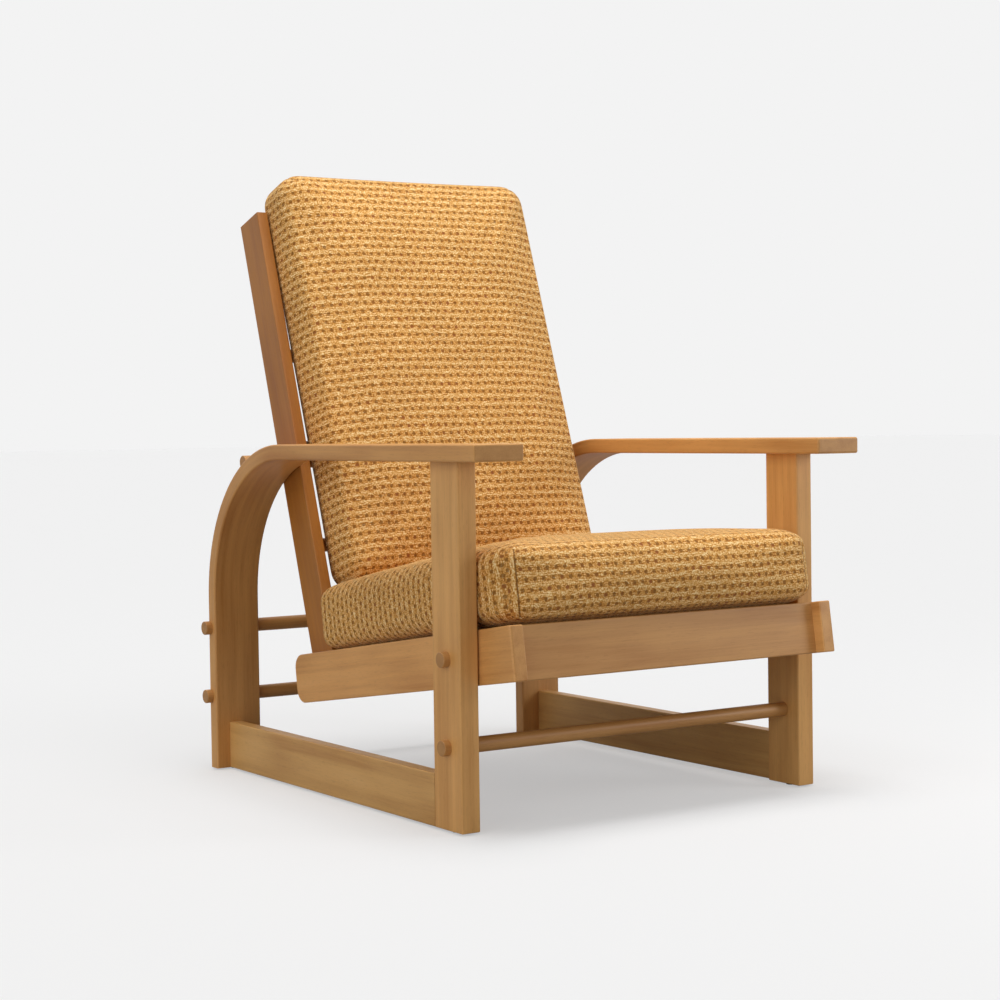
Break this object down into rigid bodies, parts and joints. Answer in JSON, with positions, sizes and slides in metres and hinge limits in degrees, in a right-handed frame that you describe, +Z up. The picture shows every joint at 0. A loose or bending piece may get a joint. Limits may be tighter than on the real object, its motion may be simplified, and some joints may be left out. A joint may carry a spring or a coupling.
{
  "type": "reclining armchair",
  "caption": "Reclining lounge chair with bent wooden arms that run down into the rear legs, a hinged seat and back, and loose woven cushions.",
  "frame": {"origin": "on the floor, under the middle of the chair's width and depth", "axes": "+Z up, the chair faces -Y, +X to the right as seen from the front"},
  "size_m": [0.708, 0.8354, 0.9765],
  "materials": {
    "wood": "satin lacquered beech, honey coloured",
    "fabric": "matt textured weave, gold with small brown dots",
    "steel": "plain zinc plated",
    "glide": "matt dark"
  },
  "bodies": {
    "side_frames": {"left_bent_arm": "wood", "right_bent_arm": "wood", "left_front_post": "wood", "right_front_post": "wood", "left_foot_rail": "wood", "right_foot_rail": "wood", "lower_front_dowel": "wood", "seat_pivot_dowel": "wood", "upper_rear_dowel": "wood", "lower_rear_dowel": "wood", "floor_glides": "glide", "arm_joint_dowels": "wood", "rail_joint_dowels": "wood", "rear_dowel_screws": "steel"},
    "seat_frame": {"left_seat_rail": "wood", "right_seat_rail": "wood", "seat_front_board": "wood", "seat_rear_rail": "wood", "left_seat_cleat": "wood", "right_seat_cleat": "wood", "seat_slat_1": "wood", "seat_slat_2": "wood", "seat_slat_3": "wood", "seat_slat_4": "wood", "seat_slat_5": "wood", "seat_slat_6": "wood", "slat_screws": "steel", "cleat_screws": "steel", "seat_corner_dowels": "wood", "left_hinge_bolt": "steel", "right_hinge_bolt": "steel", "left_hinge_washer": "steel", "right_hinge_washer": "steel", "seat_cushion": "fabric"},
    "back_frame": {"left_back_upright": "wood", "right_back_upright": "wood", "back_rung_1": "wood", "back_rung_2": "wood", "back_rung_3": "wood", "back_rung_4": "wood", "back_support_bar": "wood", "bar_screws": "steel", "back_cushion": "fabric"}
  },
  "joints": [
    {"name": "seat_tilt", "type": "hinge", "parent": "side_frames", "child": "seat_frame", "pos_m": [0, -0.29766, 0.239], "axis": [-1, 0, 0], "range_deg": [0, 2.29]},
    {"name": "back_recline", "type": "hinge", "parent": "seat_frame", "child": "back_frame", "pos_m": [0, 0.14896, 0.16943], "axis": [-1, 0, 0], "range_deg": [0, 12]}
  ],
  "couplings": [
    {"joint": "seat_tilt", "follows": "back_recline", "ratio": 0.19}
  ]
}
